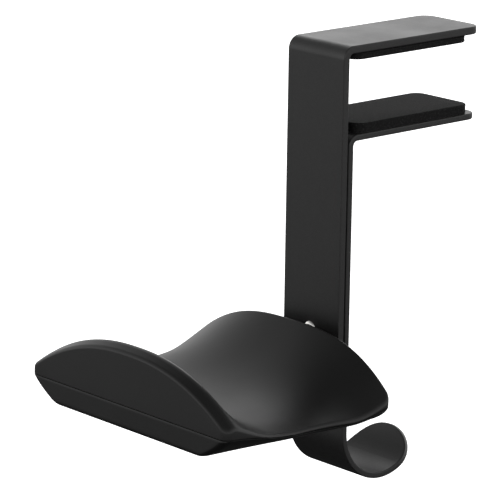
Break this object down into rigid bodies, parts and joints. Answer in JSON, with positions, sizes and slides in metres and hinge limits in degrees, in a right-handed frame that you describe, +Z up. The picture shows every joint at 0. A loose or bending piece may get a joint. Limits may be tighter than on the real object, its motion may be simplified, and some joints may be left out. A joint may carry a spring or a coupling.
{
  "type": "headphone hook",
  "caption": "Desk-edge headphone hook: a spring-closed clamp with padded jaws, a saddle-shaped cradle in front and a curled cable hook below.",
  "frame": {"origin": "middle of the upper pad's lower face, where the hook rests on the desk top", "axes": "+Z up; +Y into the desk, along the jaws; -Y towards the cradle and the user; +X to the right seen from the user, with the plane X = 0 down the middle of the bars"},
  "size_m": [0.09, 0.136, 0.1416],
  "materials": {
    "powder_coat": "fine matte black powder coat on flat aluminium bar",
    "soft_touch": "satin black soft-touch moulded plastic",
    "pad_foam": "matte black closed-cell rubber foam, finely speckled",
    "pad_tape": "thin dark adhesive tape",
    "nickel_steel": "bright nickel-plated steel",
    "zinc_steel": "zinc-plated steel, satin",
    "spring_steel": "drawn spring wire",
    "nylon": "natural nylon",
    "brass": "turned and knurled brass"
  },
  "bodies": {
    "frame": {"front_bracket": "powder_coat", "upper_pad_tape": "pad_tape", "upper_jaw_pad": "pad_foam", "guide_rivet_upper": "nickel_steel", "guide_rivet_lower": "nickel_steel", "gap_washer_upper": "nylon", "gap_washer_lower": "nylon", "guide_bush_upper": "nylon", "guide_bush_lower": "nylon", "keeper_plate": "zinc_steel", "spring_left": "spring_steel", "spring_right": "spring_steel", "spring_post_upper_left": "zinc_steel", "spring_post_upper_right": "zinc_steel", "cradle_top": "soft_touch", "cradle_tray": "soft_touch", "arm_screw_rear": "zinc_steel", "arm_screw_front": "zinc_steel", "threaded_insert_rear": "brass", "threaded_insert_front": "brass", "tray_screw_rear_left": "zinc_steel", "tray_screw_rear_right": "zinc_steel", "tray_screw_front_left": "zinc_steel", "tray_screw_front_right": "zinc_steel"},
    "slider": {"slide_bracket": "powder_coat", "lower_pad_tape": "pad_tape", "lower_jaw_pad": "pad_foam", "spring_post_lower_left": "zinc_steel", "spring_post_lower_right": "zinc_steel"}
  },
  "joints": [
    {"name": "jaw_slide", "type": "slide", "parent": "frame", "child": "slider", "axis": [0, 0, -1], "range_m": [0, 0.015], "stiffness_N_per_m": 900, "springref_m": -0.015, "deforming": ["spring_left", "spring_right"]}
  ]
}
